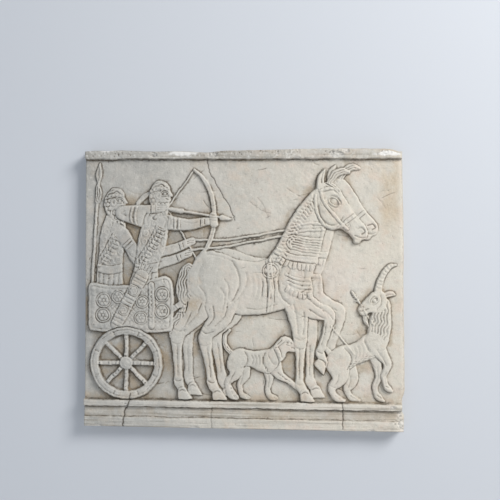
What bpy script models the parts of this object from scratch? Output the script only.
# Plaster wall relief: one cast slab with a chariot hunt in low relief, held flat on a wall.
# Metres, +Z up. The origin is the centre of the wall face, and the carved front looks along -Y.

import math

import bmesh
import bpy
import numpy as np
from mathutils import Vector
from mathutils.geometry import delaunay_2d_cdt

# Slab
PANEL_WIDTH = 1.066
PANEL_HEIGHT = 0.930
SLAB_THICKNESS = 0.044
SETBACK = 0.007  # how far the broken top and right edges lean back from the wall face to the front

# Mouldings: heights up the panel, and how far each stands proud of the field
LOWER_BAND_HEIGHT = 0.032
LOWER_BAND_PROUD = 0.011
FASCIA_HEIGHT = 0.036
FASCIA_PROUD = 0.006
LEDGE_HEIGHT = 0.020
LEDGE_PROUD = 0.017
TOP_BAND_HEIGHT = 0.042
TOP_BAND_PROUD = 0.014
TOP_CHAMFER = 0.011

# Wear of the broken edges: (share along the edge, depth of the bite in metres)
TOP_WEAR = [
    (0.00, 0.006), (0.10, 0.004), (0.22, 0.009), (0.30, 0.007), (0.37, 0.012),
    (0.44, 0.006), (0.58, 0.004), (0.72, 0.000), (0.88, 0.001), (0.955, 0.003), (0.985, 0.014),
]
RIGHT_WEAR = [
    (0.965, 0.012), (0.94, 0.011), (0.80, 0.008), (0.64, 0.005), (0.50, 0.006),
    (0.36, 0.003), (0.20, 0.001), (0.135, 0.000), (0.115, 0.007), (0.06, 0.009), (0.045, 0.002),
]

# The carving is drawn in hundredths of the field's height: across from the panel's left edge,
# and up from the top of the ledge. It is this wide in the same units.
DRAWING_WIDTH = 133.2
DRAWING_HEIGHT = 100.0
FIELD_HEIGHT = PANEL_HEIGHT - LOWER_BAND_HEIGHT - FASCIA_HEIGHT - LEDGE_HEIGHT - TOP_BAND_HEIGHT
UNIT = min(FIELD_HEIGHT / DRAWING_HEIGHT, PANEL_WIDTH / DRAWING_WIDTH)
LEFT = -PANEL_WIDTH / 2
GROUND = -PANEL_HEIGHT / 2 + LOWER_BAND_HEIGHT + FASCIA_HEIGHT + LEDGE_HEIGHT

# How far each figure stands proud of the field
FAR_HORSE_PROUD = 0.0065
NEAR_HORSE_PROUD = 0.0125
GAME_PROUD = 0.0115
HOUND_PROUD = 0.0100
DRIVER_PROUD = 0.0070
ARCHER_PROUD = 0.0105
CHARIOT_PROUD = 0.0125
WHEEL_PROUD = 0.0145
THIN_PROUD = 0.0085
LIMB_STEP = 0.0009  # what lies over its own body stands this much higher
BAND_STEP = 0.0018  # straps, bands and bosses stand this much higher than the form they lie on
STAGGER = 0.00009  # forms that would share a plane are kept this far apart
EDGE_ROUND = 0.0032  # chamfer round each raised form
FAR_SHIFT = (4.2, 1.7)  # the second horse of the team, seen beyond the first
ROOT_DEPTH = 0.010  # each raised form is rooted this deep in the slab

# Outlines are lists of (across, up) and limbs are lists of (across, up, half width)
HORSE_TRUNK = [
    (44, 50), (45.6, 57.5), (50.5, 61.8), (57, 61.4), (64, 58.6), (72, 57.8), (79, 60.4),
    (85, 62.6), (90.5, 59.5), (93.6, 53.5), (93.4, 47), (89.6, 41.6), (83, 38.2), (74, 36.2),
    (65, 35.8), (57.5, 38.6), (50, 41.5), (45.4, 45),
]
HORSE_NECK = [
    (76, 57), (80.2, 64.5), (84.2, 73), (89.5, 81.5), (96, 87.6), (101.5, 86.4), (102.8, 80),
    (100.4, 73), (98.6, 66), (96.4, 58), (93, 50), (84, 48),
]
HORSE_HEAD = [
    (94.8, 85.4), (97.4, 89.2), (101.4, 90.4), (104.8, 88.2), (107.6, 84), (110.4, 79.2),
    (113.6, 75.2), (116.2, 72.2), (117, 69.6), (116.2, 67.4), (114.6, 66.7), (113.3, 65.2),
    (111.4, 65.5), (110.6, 67.4), (108.6, 69.6), (105.8, 71.4), (102.2, 70.7), (98.4, 72.8),
    (95.6, 78.4),
]
HORSE_EAR = [(97.6, 88.6, 1.6), (97.8, 92.2, 1.4), (99.4, 95.2, 0.5)]
HORSE_RAISED_FORELEG = [
    (88, 48, 6.6), (90.5, 41.4, 4.9), (96.5, 37.8, 3.6), (101.4, 35.8, 2.6), (100.6, 29.5, 1.8),
    (98.6, 23.8, 1.7), (97.8, 20.8, 2), (99, 18, 1.6),
]
HORSE_STANDING_FORELEG = [
    (87, 46, 6.2), (88.4, 38, 4.6), (89.4, 30, 3.2), (89.6, 25, 2.7), (89.6, 18, 1.8),
    (89.4, 10, 1.7), (89.8, 7, 2.1), (91.2, 4.2, 1.7),
]
HORSE_NEAR_HINDLEG = [
    (54, 50, 9.2), (57, 42.5, 7.2), (56.4, 34.5, 4.8), (51.6, 28.6, 3.2), (50.6, 25.4, 2.9),
    (51.6, 18.6, 2), (53, 11, 1.8), (53.6, 7.4, 2.2), (55.2, 4.4, 1.7),
]
HORSE_REAR_HINDLEG = [
    (51, 50, 8.4), (49.5, 41.6, 6.2), (46, 35, 4.2), (40.8, 29.6, 3), (39, 26.4, 2.8),
    (39, 19.6, 1.95), (39.4, 12, 1.75), (39.4, 8.4, 2.1), (40.6, 5, 1.7),
]
HORSE_PLUME = [(101, 89.4, 1), (102.8, 92.6, 1.5), (105.8, 94.8, 1.5), (109, 94.4, 0.8)]
# A hoof is drawn about the end of its leg, toe to the right; each is (across, up, turn in degrees)
HOOF = [
    (-1.6, -1.4), (-0.8, 0.8), (1.5, 1.2), (2.9, -0.8), (4.6, -3.5), (4.3, -3.9), (1.6, -4),
    (-1, -3.9), (-1.4, -3.4),
]
HORSE_HOOVES = [(99, 17.6, -50), (91.2, 4.4, 0), (55.2, 4.5, 0), (40.6, 4.6, 0)]
HORSE_TAIL = [
    (46.8, 54, 1.3), (43.6, 55.4, 1.7), (41.6, 51.8, 2.4), (41, 45.8, 2.6), (41.3, 40.6, 1.9),
    (41.2, 37.8, 1.3), (39.9, 34.2, 2.6), (37.7, 30.2, 2.5), (36.4, 26.6, 0.8),
]

# Straps and the mane are (across, up, half width), bosses are (across, up, radius)
HORSE_BANDS = [
    [(81.4, 63.2, 2), (85.6, 71.4, 2.1), (90.6, 79.4, 2.1), (96, 85, 1.9)],
    [(80.8, 61.4, 1.3), (86.6, 59.4, 1.3), (95.2, 58.5, 1.3)],
    [(76.6, 57.2, 1.25), (77.6, 48, 1.25), (77, 38.4, 1.25)],
]
HEAD_BANDS = [
    [(98.4, 86.2, 0.65), (99.6, 82, 0.65), (103, 77.2, 0.65), (107.4, 72.8, 0.65)],
    [(106, 72.4, 0.7), (111.2, 76.4, 0.7)],
]
HORSE_BOSSES = [(77.4, 54, 3.1)]

GOAT_TRUNK = [
    (100.5, 14.5), (101.4, 20.2), (105.6, 23.4), (111, 24.6), (116, 28.2), (120.4, 32),
    (124.4, 31), (126, 26.6), (123.6, 21.6), (118.6, 18.4), (112.8, 16), (107.6, 12.6), (103.2, 11),
]
GOAT_NECK = [
    (116.8, 27), (117.8, 34), (119.4, 40), (122.6, 43.6), (125.6, 42.4), (126.6, 36.6),
    (126.4, 30), (124.6, 25), (120, 23.6),
]
GOAT_HEAD = [
    (124.8, 42.4), (123.6, 45.6), (120.6, 46.4), (117.6, 44.4), (114.8, 41.4), (113, 38.8),
    (113.4, 37.4), (114.4, 36.2), (116.2, 36.3), (118, 37.4), (120.8, 37.2), (123.6, 38.4),
]
GOAT_HORN = [(121, 45, 1.6), (122.4, 51, 1.35), (125.4, 55.6, 1.1), (128.4, 56.6, 0.5)]
GOAT_EAR = [(121.8, 43.4, 1), (125.8, 45, 1.15), (127.8, 44.4, 0.5)]
GOAT_NEAR_FORELEG = [
    (119.5, 25.6, 4.2), (122.8, 20.4, 2.5), (125.2, 16, 1.7), (123.6, 12, 1.25), (124, 8.6, 1.15),
    (125.2, 6.6, 1.25), (126.8, 5.2, 0.6),
]
GOAT_FAR_FORELEG = [
    (119.6, 23, 3.4), (120.8, 16.6, 2), (121.6, 11.4, 1.4), (120.2, 7.4, 1.15), (120.6, 4.4, 1.15),
    (121.8, 2.6, 1.25), (123.6, 1.4, 0.6),
]
GOAT_NEAR_HINDLEG = [
    (104.8, 16.4, 5), (106, 10.6, 3.2), (103, 6.8, 1.9), (103.3, 4, 1.35), (104.8, 2.2, 1.35),
    (107.8, 1.3, 0.6),
]
GOAT_FAR_HINDLEG = [
    (108, 15.6, 4.2), (110.8, 9.8, 2.6), (109, 6.2, 1.6), (109.6, 3.8, 1.2), (111, 2.2, 1.3),
    (113.8, 1.3, 0.6),
]
GOAT_TAIL = [(102, 20.4, 1.3), (99.4, 23.4, 0.8)]

HOUND_TRUNK = [
    (59.5, 15.5), (61, 20), (65, 22), (70, 21), (75, 21.4), (79, 22.4), (81.6, 19.6),
    (80.8, 15), (77, 12), (72.6, 12.8), (68.4, 14.6), (64, 13.4), (60.6, 12.6),
]
HOUND_HEAD = [
    (76.5, 20), (79.4, 24.4), (82.4, 27), (85.2, 26.8), (87.6, 24.8), (90.4, 23.2), (90.4, 21.4),
    (87.2, 20.6), (84.4, 20.6), (82.8, 17.4), (79, 15.6),
]
HOUND_EAR = [(82.4, 25.8, 1.2), (79.6, 23.2, 0.9)]
HOUND_NEAR_FORELEG = [
    (78.6, 16, 3.3), (81.2, 11.4, 1.8), (84.4, 9.4, 1.2), (86.6, 7.8, 1.1), (88.4, 6.6, 1.3),
    (90, 5.9, 0.9),
]
HOUND_FAR_FORELEG = [
    (76.6, 15, 2.9), (77.2, 9.8, 1.6), (76.4, 5.8, 1.1), (76.8, 3.2, 1.1), (78.2, 1.9, 1.3),
    (79.8, 1.6, 0.9),
]
HOUND_NEAR_HINDLEG = [
    (64, 17, 4.2), (63, 11.6, 2.5), (60.2, 8.2, 1.45), (60.3, 4.8, 1.15), (61.2, 2.5, 1.2),
    (63.6, 1.7, 1.1),
]
HOUND_FAR_HINDLEG = [
    (65.4, 16, 3.6), (67, 10.8, 2), (65, 7.4, 1.3), (65.3, 4.4, 1.1), (66.2, 2.5, 1.15),
    (68.4, 1.7, 1),
]
HOUND_TAIL = [(62, 19.4, 1.2), (59.2, 22.6, 1), (58.6, 26.6, 0.85), (60.8, 29.4, 0.6)]

WHEEL_HUB = (17.6, 15.4)
WHEEL_RADIUS = 15.2
WHEEL_RIM = 3.6
WHEEL_BOSS = 2.7
WHEEL_SPOKES = 8
SPOKE_HALF_WIDTH = 0.85
CHARIOT_BOX = [
    (1.4, 33), (1.6, 41), (2, 48.4), (10, 47.6), (20, 48), (28.5, 50.4), (33.6, 51.6), (36.6, 49.4),
    (37.4, 43), (37.2, 34), (36.6, 29.8), (34.6, 28.4), (26, 28.1), (12, 28.1), (3.4, 28.6),
    (1.7, 30.2),
]
BOX_BANDS = [[(28, 46.8, 1.2), (28.3, 39, 1.2), (28.2, 31.6, 1.2)]]
BOX_BOSSES = [
    (8, 41.4, 2.9), (7.8, 35.2, 2.9), (32.6, 44, 2.9), (32.6, 37, 2.9), (14.2, 42.8, 2.5),
    (23.6, 34.2, 2.5), (24.4, 41, 2.5),
]
CHARIOT_POLE = [(34, 36, 1.3), (42, 41.6, 1.3), (50, 50, 1.25)]
QUIVER = [(13.5, 31.5, 2.5), (24, 51.5, 2.9)]
QUIVER_BANDS = [
    [(13.4, 36.1, 0.6), (17.2, 34.1, 0.6)],
    [(20.8, 50.2, 0.6), (24.8, 48.1, 0.6)],
]
SPEAR = [(2.7, 44, 0.6), (5.5, 92, 0.55)]
SPEAR_HEAD = [(4.9, 90.6), (4.2, 93.4), (5, 96.2), (6.1, 98.8), (6.8, 96), (6.9, 93.2), (6, 90.5)]
SPEAR_TASSEL = [(5.3, 89, 0.8), (5.6, 86, 1.3), (5.2, 82.6, 1.1)]

ARCHER_TORSO = [(24.6, 45, 6.6), (26, 56, 5), (28.2, 66, 6), (30, 74.6, 5.3)]
ARCHER_HEAD = [
    (27.6, 88.2), (30.2, 91), (33.4, 90.8), (35.4, 88.8), (35.8, 86.9), (36.9, 84.7), (36, 84),
    (36.1, 82.9), (35.3, 81.4), (35.2, 79), (34, 76.6), (31.2, 78), (28.4, 79.8), (27, 82.6),
    (26.8, 85.6),
]
ARCHER_BOW_ARM = [(33.2, 74, 3.3), (42.2, 72.8, 2.45), (51.6, 74.2, 1.75)]
ARCHER_FIST = [(53.6, 76.4, 1.7), (54, 73.2, 1.7)]
ARCHER_DRAWING_ARM = [(24.6, 75.2, 3.5), (15.6, 77.6, 2.7), (23.5, 78.9, 2.2), (32.4, 79.6, 1.6)]
BOW = [
    (45.6, 95.6, 0.5), (49.2, 92.4, 0.8), (52.2, 87, 0.95), (53.7, 80.8, 0.95), (53.9, 73.4, 0.95),
    (52.8, 67.2, 0.95), (50.2, 62.2, 0.8), (46.6, 59, 0.5),
]
BOWSTRING = [(45.6, 95.6, 0.35), (34.4, 79.6, 0.35), (46.6, 59, 0.35)]
ARROW = [(34, 79.5, 0.5), (58, 75.6, 0.5)]
DRIVER_TORSO = [(10.4, 45, 6), (10.6, 58, 5.2), (11.6, 68, 5.4), (12.6, 73.6, 4.6)]
DRIVER_HEAD = [
    (8.8, 85.2), (11.2, 88), (14.4, 87.9), (16.4, 85.9), (16.8, 84), (17.9, 81.8), (17, 81.1),
    (17.1, 80), (16.3, 78.5), (16.2, 76.1), (15, 73.8), (12.2, 75), (9.4, 76.8), (8, 79.7),
    (7.9, 82.6),
]
DRIVER_UPPER_ARM = [(14, 70.6, 3), (22, 61.5, 2.5), (34, 62, 2.1), (44.8, 66, 1.6)]
DRIVER_LOWER_ARM = [(16, 68.6, 2.8), (24, 56.5, 2.4), (34, 57.4, 2), (43.6, 61.2, 1.6)]
REINS = [
    [(45, 66.6, 0.5), (60, 66.8, 0.45), (76, 69.4, 0.45), (88, 71.6, 0.5)],
    [(44.4, 62.4, 0.5), (58, 63.8, 0.45), (74, 66.8, 0.45), (88, 69.4, 0.5)],
]

CURVE_STEPS = 3  # points added between two drawn ones
CAP_POINTS = 3  # points round each end of a limb
CLOSEST_POINTS = 0.25  # points of an outline nearer than this, in the drawing's units, are left out
STRAIGHTNESS = 0.09  # and so are points this near the line between their neighbours
WHEEL_SEGMENTS = 40

PLASTER_COLOUR = (0.72, 0.69, 0.63, 1.0)
PLASTER_ROUGHNESS = 0.85


def clear_scene():
    for obj in list(bpy.data.objects):
        bpy.data.objects.remove(obj)


def plaster():
    material = bpy.data.materials.new("plaster")
    material.use_nodes = True
    shader = material.node_tree.nodes["Principled BSDF"]
    shader.inputs["Base Color"].default_value = PLASTER_COLOUR
    shader.inputs["Roughness"].default_value = PLASTER_ROUGHNESS
    return material


def curve_through(points, closed):
    """Points of a Catmull-Rom curve through the drawn ones, which may also carry a half width."""
    p = np.array(points, float)
    if closed:
        before, after, last = np.roll(p, 1, 0), np.roll(p, -1, 0), np.roll(p, -2, 0)
        start = p
    else:
        ends = np.vstack([2 * p[0] - p[1], p, 2 * p[-1] - p[-2]])
        before, start, after, last = ends[:-3], ends[1:-2], ends[2:-1], ends[3:]
    spans = []
    for t in np.linspace(0, 1, CURVE_STEPS, endpoint=False):
        spans.append(
            0.5
            * (
                2 * start
                + (after - before) * t
                + (2 * before - 5 * start + 4 * after - last) * t**2
                + (3 * start - before - 3 * after + last) * t**3
            )
        )
    curve = np.stack(spans, 1).reshape(-1, p.shape[1])
    return curve if closed else np.vstack([curve, p[-1]])


def crossing_edges(a, b):
    """Which edges of closed outline a cross which edges of closed outline b, as a table."""
    a_start, a_end = a[:, None], np.roll(a, -1, 0)[:, None]
    b_start, b_end = b[None], np.roll(b, -1, 0)[None]

    def side(start, end, point):
        step, away = end - start, point - start
        return step[..., 0] * away[..., 1] - step[..., 1] * away[..., 0]

    parts_b = side(a_start, a_end, b_start) * side(a_start, a_end, b_end) < 0
    parts_a = side(b_start, b_end, a_start) * side(b_start, b_end, a_end) < 0
    return parts_a & parts_b


def area(outline):
    x, z = outline.T
    return 0.5 * float((x * np.roll(z, -1) - z * np.roll(x, -1)).sum())


def unfolded(outline):
    """The outline without the loops where it crosses itself, or points it hardly needs."""
    while True:
        pairs = np.argwhere(np.triu(crossing_edges(outline, outline)))
        if len(pairs) == 0:
            break
        i, j = pairs[0]
        start, step = outline[i], outline[(i + 1) % len(outline)] - outline[i]
        other, other_step = outline[j], outline[(j + 1) % len(outline)] - outline[j]
        turn = step[0] * other_step[1] - step[1] * other_step[0]
        gap = other - start
        meeting = start + step * (gap[0] * other_step[1] - gap[1] * other_step[0]) / turn
        loops = (
            np.vstack([meeting, outline[i + 1 : j + 1]]),
            np.vstack([outline[: i + 1], meeting, outline[j + 1 :]]),
        )
        outline = max(loops, key=lambda loop: abs(area(loop)))
    kept = [outline[0]]
    for point, following in zip(outline[1:], np.roll(outline, -2, 0)):
        chord, away = following - kept[-1], point - kept[-1]
        bow = abs(chord[0] * away[1] - chord[1] * away[0]) / max(math.hypot(*chord), CLOSEST_POINTS)
        apart = min(math.dist(point, kept[-1]), math.dist(point, kept[0]))
        if bow > STRAIGHTNESS and apart > CLOSEST_POINTS:
            kept.append(point)
    return np.array(kept)


def limb_outline(points):
    """Outline of a limb: both sides of its path at the half width, with round ends."""
    path = curve_through(points, closed=False)
    along = np.gradient(path[:, :2], axis=0)
    along /= np.linalg.norm(along, axis=1)[:, None]
    across = np.stack([along[:, 1], -along[:, 0]], 1) * path[:, 2:]
    turns = np.linspace(0, math.pi, CAP_POINTS + 2)[1:-1, None]

    def cap(centre, first):
        return centre + first * np.cos(turns) + np.array([-first[1], first[0]]) * np.sin(turns)

    return np.vstack(
        [
            path[:, :2] + across,
            cap(path[-1, :2], across[-1]),
            (path[:, :2] - across)[::-1],
            cap(path[0, :2], -across[0]),
        ]
    )


def inset(outline, edge):
    """The outline drawn in by the edge, or by less where that would fold it or cross its other side."""
    before, after = np.roll(outline, 1, 0), np.roll(outline, -1, 0)
    along = (outline - before) / np.linalg.norm(outline - before, axis=1)[:, None]
    onward = (after - outline) / np.linalg.norm(after - outline, axis=1)[:, None]
    inward = np.stack([-(along + onward)[:, 1], (along + onward)[:, 0]], 1)
    inward /= np.linalg.norm(inward, axis=1)[:, None]
    reach = np.full(len(outline), edge)
    for _ in range(12):
        ring = outline + inward * reach[:, None]
        trouble = crossing_edges(ring, ring) | crossing_edges(ring, outline)
        trouble |= trouble.T
        backwards = ((np.roll(ring, -1, 0) - ring) * (after - outline)).sum(1) <= 0
        bad = trouble.any(1) | backwards
        bad |= np.roll(bad, 1)
        if not bad.any():
            break
        reach[bad] *= 0.6
    return ring


def new_object(name, mesh_data, collection):
    mesh = bpy.data.meshes.new(name)
    mesh_data.to_mesh(mesh)
    mesh_data.free()
    obj = bpy.data.objects.new(name, mesh)
    collection.objects.link(obj)
    return obj


def as_helper(obj):
    obj.hide_render = True
    obj.display_type = "WIRE"
    return obj


def raised_form(carving, name, outline, proud, edge=EDGE_ROUND):
    """A flat-topped form with chamfered edges, standing proud of the field and rooted in the slab."""
    outline = unfolded(np.array(outline)) * UNIT + (LEFT, GROUND)
    if area(outline) < 0:
        outline = outline[::-1]
    root = ROOT_DEPTH + 0.00011 * len(carving.objects)  # no two roots share a plane
    top = inset(outline, edge)
    data = bmesh.new()
    rings = [
        [data.verts.new((x, -SLAB_THICKNESS + root, z)) for x, z in outline],
        [data.verts.new((x, -SLAB_THICKNESS - proud + edge, z)) for x, z in outline],
        [data.verts.new((x, -SLAB_THICKNESS - proud, z)) for x, z in top],
    ]
    for ring, shape in ((rings[0], outline), (rings[2], top)):
        corners = list(range(len(shape)))
        for face in delaunay_2d_cdt([Vector(p) for p in shape], [], [corners], 1, 1e-7)[2]:
            data.faces.new([ring[i] for i in face])
    for low, high in zip(rings, rings[1:]):
        for i in range(len(low)):
            j = (i + 1) % len(low)
            data.faces.new([low[i], low[j], high[j]])
            data.faces.new([low[i], high[j], high[i]])
    bmesh.ops.recalc_face_normals(data, faces=data.faces)
    return as_helper(new_object(name, data, carving))


def mass(carving, name, points, proud, shift=(0, 0)):
    raised_form(carving, name, curve_through(points, closed=True) + shift, proud)


def limb(carving, name, points, proud, shift=(0, 0)):
    """A limb's chamfer is kept well inside its narrowest half width."""
    narrowest = min(p[2] for p in points) * UNIT
    edge = min(EDGE_ROUND, 0.5 * narrowest)
    raised_form(carving, name, limb_outline(points) + shift, proud, edge)


def ornament(carving, name, bands, bosses, proud):
    """Bands and round bosses that lie on a form of this height."""
    for number, points in enumerate(bands):
        limb(carving, f"{name}_band_{number + 1}", points, proud + BAND_STEP + number * STAGGER)
    for number, (across, up, radius) in enumerate(bosses):
        disc = [(across, up, radius), (across + CLOSEST_POINTS / 10, up, radius)]
        height = proud + BAND_STEP + (len(bands) + number) * STAGGER
        limb(carving, f"{name}_boss_{number + 1}", disc, height)


def horse(carving, name, proud, shift):
    mass(carving, name + "_trunk", HORSE_TRUNK, proud, shift)
    mass(carving, name + "_neck", HORSE_NECK, proud + 0.4 * LIMB_STEP, shift)
    limb(carving, name + "_raised_foreleg", HORSE_RAISED_FORELEG, proud + LIMB_STEP, shift)
    limb(carving, name + "_standing_foreleg", HORSE_STANDING_FORELEG, proud + 0.6 * LIMB_STEP, shift)
    limb(carving, name + "_near_hindleg", HORSE_NEAR_HINDLEG, proud + 1.2 * LIMB_STEP, shift)
    limb(carving, name + "_rear_hindleg", HORSE_REAR_HINDLEG, proud - 0.6 * LIMB_STEP, shift)
    for number, (across, up, turn) in enumerate(HORSE_HOOVES):
        cosine, sine = math.cos(math.radians(turn)), math.sin(math.radians(turn))
        outline = [(across + x * cosine - z * sine, up + x * sine + z * cosine) for x, z in HOOF]
        height = proud + 1.4 * LIMB_STEP + number * STAGGER
        mass(carving, f"{name}_hoof_{number + 1}", outline, height, shift)
    mass(carving, name + "_head", HORSE_HEAD, proud + 1.6 * LIMB_STEP, shift)
    limb(carving, name + "_ear", HORSE_EAR, proud + 2.2 * LIMB_STEP, shift)
    limb(carving, name + "_plume", HORSE_PLUME, proud + 0.8 * LIMB_STEP, shift)


def goat(carving):
    limb(carving, "goat_far_foreleg", GOAT_FAR_FORELEG, GAME_PROUD - 4 * LIMB_STEP)
    limb(carving, "goat_far_hindleg", GOAT_FAR_HINDLEG, GAME_PROUD - 4.4 * LIMB_STEP)
    limb(carving, "goat_tail", GOAT_TAIL, GAME_PROUD - 2 * LIMB_STEP)
    mass(carving, "goat_trunk", GOAT_TRUNK, GAME_PROUD)
    mass(carving, "goat_neck", GOAT_NECK, GAME_PROUD + 0.5 * LIMB_STEP)
    limb(carving, "goat_near_hindleg", GOAT_NEAR_HINDLEG, GAME_PROUD + 1.1 * LIMB_STEP)
    limb(carving, "goat_near_foreleg", GOAT_NEAR_FORELEG, GAME_PROUD + 1.3 * LIMB_STEP)
    limb(carving, "goat_horn", GOAT_HORN, GAME_PROUD - 0.5 * LIMB_STEP)
    mass(carving, "goat_head", GOAT_HEAD, GAME_PROUD + 1.9 * LIMB_STEP)
    limb(carving, "goat_ear", GOAT_EAR, GAME_PROUD + 0.9 * LIMB_STEP)


def hound(carving):
    limb(carving, "hound_far_foreleg", HOUND_FAR_FORELEG, HOUND_PROUD - 3.1 * LIMB_STEP)
    limb(carving, "hound_far_hindleg", HOUND_FAR_HINDLEG, HOUND_PROUD - 3.3 * LIMB_STEP)
    limb(carving, "hound_tail", HOUND_TAIL, HOUND_PROUD - 2.2 * LIMB_STEP)
    mass(carving, "hound_trunk", HOUND_TRUNK, HOUND_PROUD)
    limb(carving, "hound_near_hindleg", HOUND_NEAR_HINDLEG, HOUND_PROUD + 0.7 * LIMB_STEP)
    limb(carving, "hound_near_foreleg", HOUND_NEAR_FORELEG, HOUND_PROUD + 0.9 * LIMB_STEP)
    mass(carving, "hound_head", HOUND_HEAD, HOUND_PROUD + 1.6 * LIMB_STEP)
    limb(carving, "hound_ear", HOUND_EAR, HOUND_PROUD + 2.4 * LIMB_STEP)


def wheel(carving):
    """Rim, boss and spokes, turned about the hub."""
    hub = np.array(WHEEL_HUB)
    inner = WHEEL_RADIUS - WHEEL_RIM
    ring = (
        (inner * UNIT, -ROOT_DEPTH),
        (inner * UNIT, WHEEL_PROUD - EDGE_ROUND),
        (inner * UNIT + EDGE_ROUND, WHEEL_PROUD),
        (WHEEL_RADIUS * UNIT - EDGE_ROUND, WHEEL_PROUD),
        (WHEEL_RADIUS * UNIT, WHEEL_PROUD - EDGE_ROUND),
        (WHEEL_RADIUS * UNIT, -ROOT_DEPTH),
    )
    centre = (LEFT + hub[0] * UNIT, 0, GROUND + hub[1] * UNIT)
    data = bmesh.new()
    sections = []
    for number in range(WHEEL_SEGMENTS):
        angle = 2 * math.pi * number / WHEEL_SEGMENTS
        x, z = math.cos(angle), math.sin(angle)
        section = [(centre[0] + r * x, -SLAB_THICKNESS - proud, centre[2] + r * z) for r, proud in ring]
        sections.append([data.verts.new(point) for point in section])
    for number, section in enumerate(sections):
        following = sections[(number + 1) % WHEEL_SEGMENTS]
        for i in range(len(ring)):
            j = (i + 1) % len(ring)
            data.faces.new([section[i], section[j], following[j], following[i]])
    bmesh.ops.recalc_face_normals(data, faces=data.faces)
    as_helper(new_object("wheel_rim", data, carving))

    for number in range(WHEEL_SPOKES):
        angle = 2 * math.pi * number / WHEEL_SPOKES
        way = np.array([math.cos(angle), math.sin(angle)])
        reach = inner + WHEEL_RIM / 3
        spoke = [(*hub, SPOKE_HALF_WIDTH), (*(hub + way * reach), SPOKE_HALF_WIDTH)]
        limb(carving, f"wheel_spoke_{number + 1}", spoke, WHEEL_PROUD - 4 * LIMB_STEP - number * STAGGER)
    ornament(carving, "wheel", [], [(*hub, WHEEL_BOSS)], WHEEL_PROUD + LIMB_STEP - BAND_STEP)


def chariot(carving):
    limb(carving, "chariot_pole", CHARIOT_POLE, CHARIOT_PROUD + 0.5 * LIMB_STEP)
    mass(carving, "chariot_box", CHARIOT_BOX, CHARIOT_PROUD)
    ornament(carving, "box", BOX_BANDS, BOX_BOSSES, CHARIOT_PROUD)
    limb(carving, "quiver", QUIVER, CHARIOT_PROUD + 2.5 * LIMB_STEP)
    ornament(carving, "quiver", QUIVER_BANDS, [], CHARIOT_PROUD + 1.5 * LIMB_STEP)
    wheel(carving)


def crew(carving):
    limb(carving, "spear", SPEAR, THIN_PROUD - 2.2 * LIMB_STEP)
    mass(carving, "spear_head", SPEAR_HEAD, THIN_PROUD - 1.8 * LIMB_STEP)
    limb(carving, "spear_tassel", SPEAR_TASSEL, THIN_PROUD - 1.5 * LIMB_STEP)
    limb(carving, "driver_torso", DRIVER_TORSO, DRIVER_PROUD)
    mass(carving, "driver_head", DRIVER_HEAD, DRIVER_PROUD + LIMB_STEP)
    limb(carving, "driver_lower_arm", DRIVER_LOWER_ARM, DRIVER_PROUD + 0.5 * LIMB_STEP)
    limb(carving, "driver_upper_arm", DRIVER_UPPER_ARM, DRIVER_PROUD + 1.5 * LIMB_STEP)
    limb(carving, "archer_torso", ARCHER_TORSO, ARCHER_PROUD)
    mass(carving, "archer_head", ARCHER_HEAD, ARCHER_PROUD + LIMB_STEP)
    limb(carving, "bowstring", BOWSTRING, THIN_PROUD - 4 * LIMB_STEP)
    limb(carving, "bow", BOW, THIN_PROUD + 0.3 * LIMB_STEP)
    limb(carving, "archer_bow_arm", ARCHER_BOW_ARM, ARCHER_PROUD + 1.3 * LIMB_STEP)
    limb(carving, "archer_drawing_arm", ARCHER_DRAWING_ARM, ARCHER_PROUD + 2.4 * LIMB_STEP)
    limb(carving, "arrow", ARROW, ARCHER_PROUD + 0.7 * LIMB_STEP)
    limb(carving, "archer_fist", ARCHER_FIST, ARCHER_PROUD + 3 * LIMB_STEP)
    for number, rein in enumerate(REINS):
        limb(carving, f"rein_{number + 1}", rein, THIN_PROUD + (number - 2) * LIMB_STEP)


def moulded_slab():
    """The slab with its mouldings: one upright section run along the whole width."""
    field = -SLAB_THICKNESS
    floor = -PANEL_HEIGHT / 2
    band_top = floor + LOWER_BAND_HEIGHT
    fascia_top = band_top + FASCIA_HEIGHT
    head = PANEL_HEIGHT / 2
    section = [
        (0, floor),
        (field - LOWER_BAND_PROUD, floor),
        (field - LOWER_BAND_PROUD, band_top),
        (field - FASCIA_PROUD, band_top),
        (field - FASCIA_PROUD, fascia_top),
        (field - LEDGE_PROUD, fascia_top),
        (field - LEDGE_PROUD, GROUND),
        (field, GROUND),
        (field, head - TOP_BAND_HEIGHT),
        (field - TOP_BAND_PROUD, head - TOP_BAND_HEIGHT),
        (field - TOP_BAND_PROUD, head - TOP_CHAMFER),
        (field - TOP_BAND_PROUD + TOP_CHAMFER, head),
        (0, head),
    ]
    data = bmesh.new()
    face = data.faces.new([data.verts.new((LEFT, y, z)) for y, z in section])
    grown = bmesh.ops.extrude_face_region(data, geom=[face])["geom"]
    far_end = [g for g in grown if isinstance(g, bmesh.types.BMVert)]
    bmesh.ops.translate(data, verts=far_end, vec=(PANEL_WIDTH, 0, 0))
    bmesh.ops.recalc_face_normals(data, faces=data.faces)
    return new_object("relief_panel", data, bpy.context.scene.collection)


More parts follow.
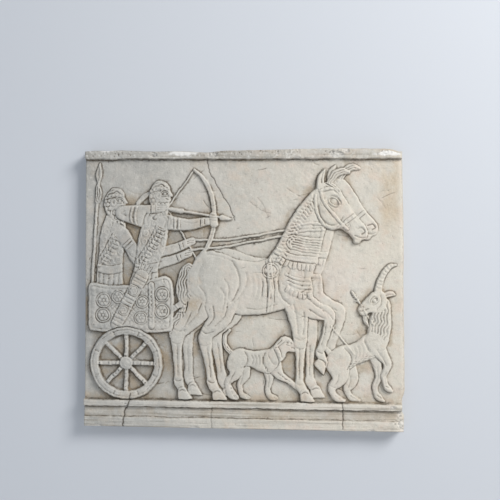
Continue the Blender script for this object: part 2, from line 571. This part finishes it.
def broken_outline():
    """What the breaks leave of the panel, seen from the front, as a block through the slab."""
    clear = 0.05  # the block reaches this far past the slab wherever it cuts nothing
    right, head = PANEL_WIDTH / 2, PANEL_HEIGHT / 2
    behind, before = clear, -SLAB_THICKNESS - clear
    data = bmesh.new()
    rings = []
    ring = [(LEFT - clear, -head - clear), (LEFT - clear, head - TOP_WEAR[0][1])]
    ring += [(LEFT + share * PANEL_WIDTH, head - bite) for share, bite in TOP_WEAR]
    ring += [(right - bite, -head + share * PANEL_HEIGHT) for share, bite in RIGHT_WEAR]
    ring.append((right - RIGHT_WEAR[-1][1], -head - clear))
    for y in (behind, before):
        back = -y * SETBACK / SLAB_THICKNESS
        rings.append([data.verts.new((x - back, y, z - back)) for x, z in ring])
    data.faces.new(rings[0])
    data.faces.new(reversed(rings[1]))
    for i in range(len(ring)):
        j = (i + 1) % len(ring)
        data.faces.new([rings[0][i], rings[0][j], rings[1][j], rings[1][i]])
    bmesh.ops.recalc_face_normals(data, faces=data.faces)
    return as_helper(new_object("broken_outline", data, bpy.context.scene.collection))


def main():
    clear_scene()
    carving = bpy.data.collections.new("carving")
    bpy.context.scene.collection.children.link(carving)
    horse(carving, "far_horse", FAR_HORSE_PROUD, FAR_SHIFT)
    limb(carving, "horse_tail", HORSE_TAIL, NEAR_HORSE_PROUD - 2 * LIMB_STEP)
    horse(carving, "near_horse", NEAR_HORSE_PROUD, (0, 0))
    ornament(carving, "harness", HORSE_BANDS, HORSE_BOSSES, NEAR_HORSE_PROUD)
    ornament(carving, "bridle", HEAD_BANDS, [], NEAR_HORSE_PROUD + 0.8 * LIMB_STEP)
    goat(carving)
    hound(carving)
    crew(carving)
    chariot(carving)

    panel = moulded_slab()
    breaks = panel.modifiers.new("breaks", "BOOLEAN")
    breaks.operation = "INTERSECT"
    breaks.object = broken_outline()
    figures = panel.modifiers.new("figures", "BOOLEAN")
    figures.operation = "UNION"
    figures.operand_type = "COLLECTION"
    figures.collection = carving
    panel.data.materials.append(plaster())


main()
